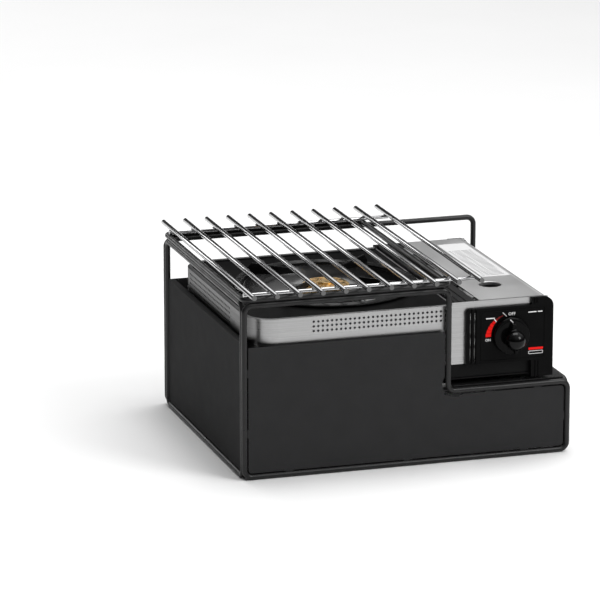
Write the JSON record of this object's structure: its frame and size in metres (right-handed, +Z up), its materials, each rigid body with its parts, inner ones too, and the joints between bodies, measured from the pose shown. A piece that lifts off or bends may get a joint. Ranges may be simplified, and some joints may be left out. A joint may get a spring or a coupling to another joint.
{
  "type": "camp stove",
  "caption": "Gas cassette stove standing in a stepped black rod frame with sheet panels, with a chrome grate over the burner.",
  "frame": {"origin": "centre of the frame's footprint, on the floor", "axes": "+Z up, -Y the front with the knob, +X towards the cartridge compartment"},
  "size_m": [0.363, 0.347, 0.2057],
  "materials": {
    "frame_black": "matte black powder coat",
    "panel_black": "matte black powder coat on sheet steel",
    "chrome_rod": "bright plated rod",
    "foot_rubber": "moulded",
    "tray_grey": "dark grey enamel",
    "stainless": "horizontally brushed",
    "zinc_sheet": "plain plated sheet and screws",
    "cast_aluminium": "cast",
    "brass": "machined",
    "magnet": "sintered",
    "igniter_white": "moulded",
    "lead_red": "silicone sleeve",
    "ceramic_white": "glazed",
    "black_plastic": "moulded",
    "gloss_black": "moulded, polished",
    "dial_print": "printed",
    "pointer_white": "printed",
    "enamel_black": "enamel",
    "lid_satin": "satin silver",
    "label": "printed film",
    "can_paint": "printed steel can"
  },
  "bodies": {
    "stand": {"front_frame_loop": "frame_black", "rear_frame_loop": "frame_black", "left_frame_loop": "frame_black", "right_frame_loop": "frame_black", "top_frame_loop": "frame_black", "front_panel": "panel_black", "rear_panel": "panel_black", "left_panel": "panel_black", "right_panel": "panel_black", "shelf_rails": "frame_black", "stove_shelf": "panel_black"},
    "grate": {"grate_bars": "chrome_rod", "grate_cross_bars": "chrome_rod"},
    "stove": {"rubber_feet": "foot_rubber", "foot_screws": "zinc_sheet", "base_tray": "tray_grey", "body_shell": "stainless", "top_plate": "enamel_black", "heat_shield": "zinc_sheet", "drip_bowl": "enamel_black", "burner_bracket": "zinc_sheet", "burner_body": "cast_aluminium", "burner_saucer": "cast_aluminium", "burner_crown": "brass", "mixing_tube": "cast_aluminium", "gas_injector": "brass", "regulator_body": "cast_aluminium", "magnet_holder": "zinc_sheet", "magnets": "magnet", "piezo_igniter": "igniter_white", "ignition_lead": "lead_red", "spark_electrode": "ceramic_white", "electrode_bracket": "zinc_sheet", "cartridge_cradle": "zinc_sheet", "divider_strip": "black_plastic", "lid_hinge_pin": "zinc_sheet", "rear_end_cap": "black_plastic", "control_panel": "black_plastic", "dial_scale": "dial_print"},
    "support": {"pan_support": "enamel_black"},
    "dial": {"knob": "gloss_black", "knob_pointer": "pointer_white", "valve_spindle": "zinc_sheet"},
    "lid": {"cartridge_lid": "lid_satin", "label_plate": "label"},
    "cartridge": {"gas_cartridge": "can_paint", "cartridge_valve": "zinc_sheet"}
  },
  "joints": [
    {"name": "grate_lift", "type": "slide", "parent": "stand", "child": "grate", "axis": [0, 0, 1], "range_m": [0, 0.08]},
    {"name": "stove_slide", "type": "slide", "parent": "stand", "child": "stove", "axis": [1, 0, 0], "range_m": [0, 0.36]},
    {"name": "knob_turn", "type": "hinge", "parent": "stove", "child": "dial", "pos_m": [0.1142, -0.1485, 0.1331], "axis": [0, -1, 0], "range_deg": [0, 70]},
    {"name": "lid_hinge", "type": "hinge", "parent": "stove", "child": "lid", "pos_m": [0.082, -0.0125, 0.168], "axis": [0, -1, 0], "range_deg": [0, 90]},
    {"name": "cartridge_slide", "type": "slide", "parent": "stove", "child": "cartridge", "axis": [0, 1, 0], "range_m": [0, 0.008]},
    {"name": "pan_support_lift", "type": "slide", "parent": "stove", "child": "support", "axis": [0, 0, 1], "range_m": [0, 0.008]}
  ]
}
